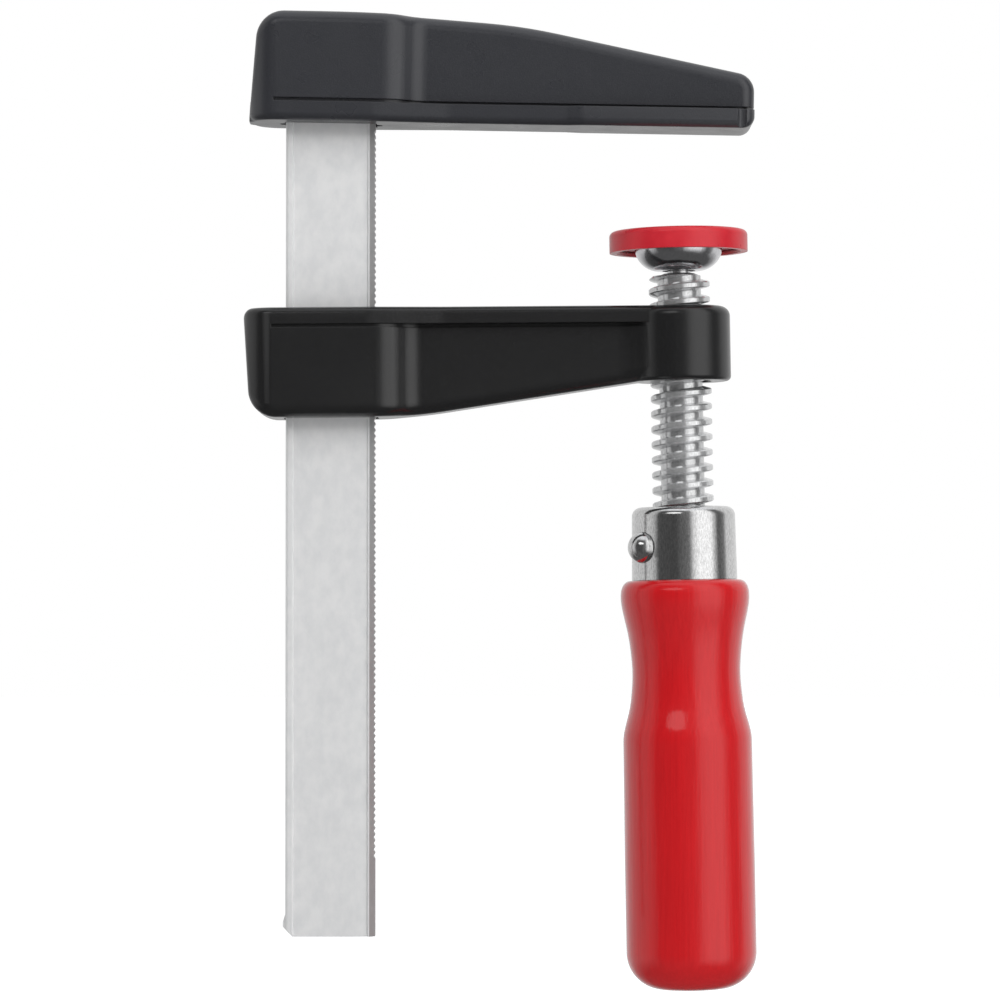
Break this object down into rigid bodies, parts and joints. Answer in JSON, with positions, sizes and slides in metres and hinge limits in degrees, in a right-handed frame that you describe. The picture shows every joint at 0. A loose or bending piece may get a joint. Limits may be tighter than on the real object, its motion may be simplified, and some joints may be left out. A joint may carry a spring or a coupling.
{
  "type": "f clamp",
  "caption": "Light F clamp: flat rail with a cast jaw at its end, a sliding jaw, and a screw with a swivel pad, plastic cap and turned wooden handle.",
  "frame": {"origin": "on the fixed jaw's clamping face, opposite the middle of the pad", "axes": "+Z along the rail from its free end to the fixed jaw, +X from the rail towards the jaws' tips, +Y across the jaws"},
  "size_m": [0.0835, 0.0226, 0.1594],
  "materials": {
    "rail_zinc": "satin zinc plate",
    "black_coat": "satin black coat",
    "hard_steel": "ground",
    "screw_steel": "bright zinc plate, rolled thread",
    "bright_plate": "bright nickel plate",
    "red_lacquer": "glossy red lacquer on turned wood",
    "pad_steel": "polished",
    "red_plastic": "semi-gloss"
  },
  "bodies": {
    "bar": {"fixed_jaw": "black_coat", "rail": "rail_zinc"},
    "grip": {"grip_pin": "hard_steel"},
    "arm": {"sliding_jaw": "black_coat"},
    "swivel": {"swivel_ball": "hard_steel"},
    "screw": {"spindle": "screw_steel", "ferrule": "bright_plate", "cross_pin": "bright_plate", "handle": "red_lacquer"},
    "pad": {"swivel_cup": "pad_steel", "pressure_disc": "pad_steel", "pad_cap": "red_plastic"}
  },
  "joints": [
    {"name": "arm_slide", "type": "slide", "parent": "bar", "child": "grip", "axis": [0, 0, 1], "range_m": [-0.08, 0.002]},
    {"name": "arm_tilt", "type": "hinge", "parent": "grip", "child": "arm", "pos_m": [-0.04829, 0, -0.04414], "axis": [0, 1, 0], "range_deg": [0, 2]},
    {"name": "screw_advance", "type": "slide", "parent": "arm", "child": "swivel", "axis": [-0.0175, 0, 0.9998], "range_m": [-0.0055, 0.0125]},
    {"name": "spindle_turn", "type": "hinge", "parent": "swivel", "child": "screw", "pos_m": [-0.00029, 0, -0.0293], "axis": [-0.0175, 0, 0.9998], "range_deg": [-793, 1801]},
    {"name": "pad_tilt", "type": "hinge", "parent": "swivel", "child": "pad", "pos_m": [-0.00042, 0, -0.0216], "axis": [0, 1, 0], "range_deg": [-5, 5]}
  ],
  "couplings": [
    {"joint": "spindle_turn", "follows": "screw_advance", "rad_per_m": 2513.3}
  ]
}
